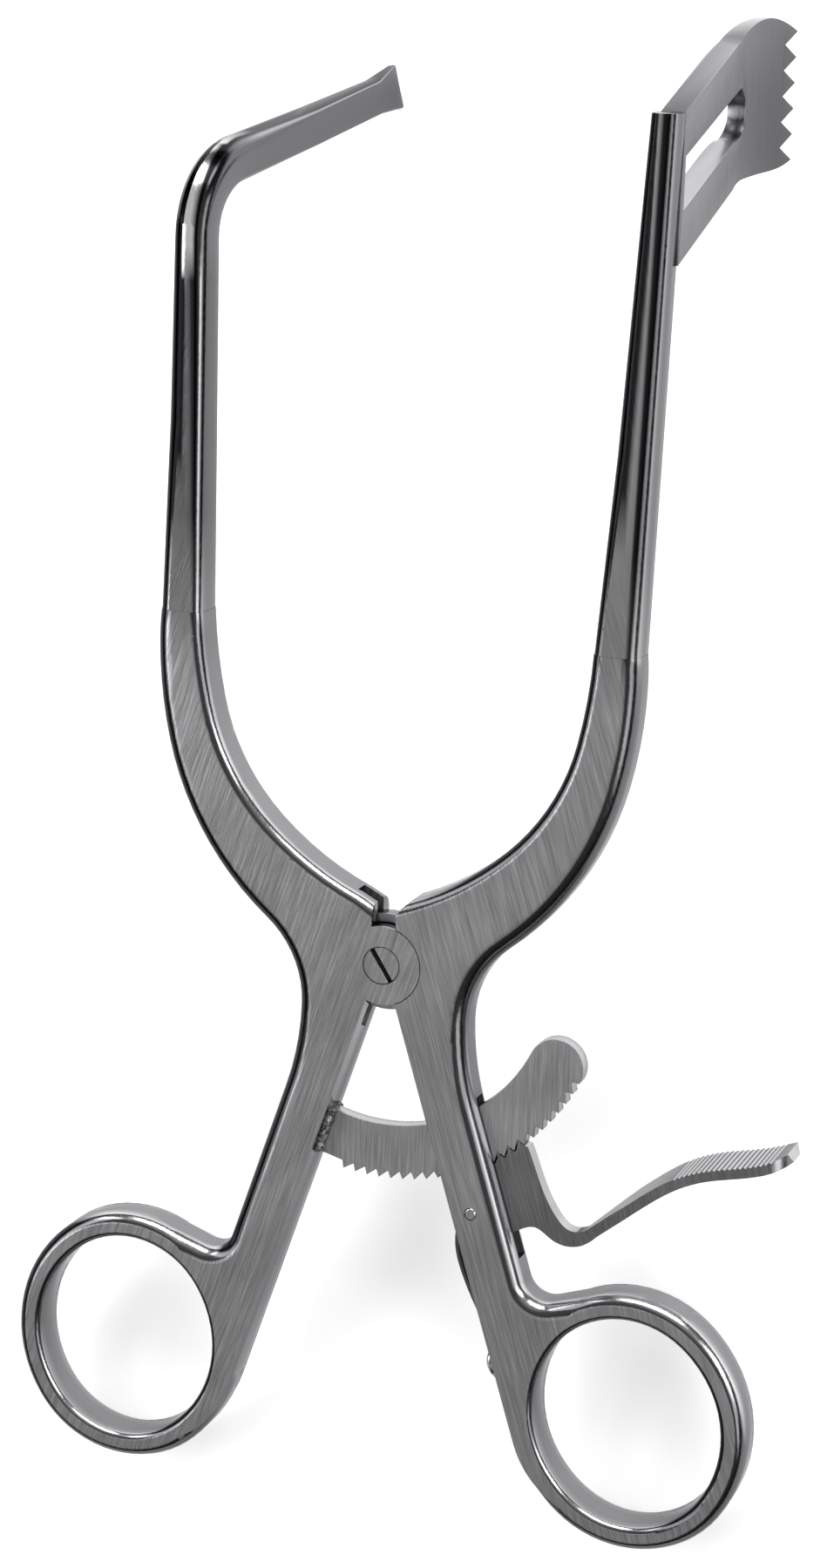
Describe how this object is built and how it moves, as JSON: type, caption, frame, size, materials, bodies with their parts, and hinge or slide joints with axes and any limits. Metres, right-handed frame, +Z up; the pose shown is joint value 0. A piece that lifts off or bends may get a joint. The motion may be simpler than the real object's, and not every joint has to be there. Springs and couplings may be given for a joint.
{
  "type": "self retaining retractor",
  "caption": "Ring handled spreading retractor with a ratchet lock and thumb release, a windowed toothed blade on one arm and a plain prong on the other.",
  "frame": {"origin": "centre of the footprint, on the table that the instrument rests on with its finger rings and blade tips", "axes": "+Y runs from the finger rings toward the arm tips, +Z up from the table, +X toward the half with the release lever"},
  "size_m": [0.103, 0.1918, 0.0461],
  "materials": {
    "polished_steel": "polished forging, satin on the flat faces",
    "satin_steel": "finely brushed",
    "dark_weld": "rough oxidised weld"
  },
  "bodies": {
    "right_half": {"right_branch": "polished_steel", "toothed_blade": "satin_steel", "lever_pin": "satin_steel", "leaf_spring": "satin_steel", "spring_screw": "satin_steel"},
    "left_half": {"left_branch": "polished_steel", "pivot_screw": "satin_steel", "ratchet_bar": "satin_steel", "ratchet_weld": "dark_weld"},
    "release_lever": {"release_lever": "satin_steel"}
  },
  "joints": [
    {"name": "arm_spread", "type": "hinge", "parent": "right_half", "child": "left_half", "pos_m": [-0.00189, -0.02509, 0.01963], "axis": [0, -0.2237, 0.9747], "range_deg": [-19.44, 19.44]},
    {"name": "lever_pivot", "type": "hinge", "parent": "right_half", "child": "release_lever", "pos_m": [0.01101, -0.05501, 0.01276], "axis": [0, 0.2237, -0.9747], "range_deg": [0, 8], "stiffness_Nm_per_rad": 0.1, "deforming": ["leaf_spring"]}
  ]
}
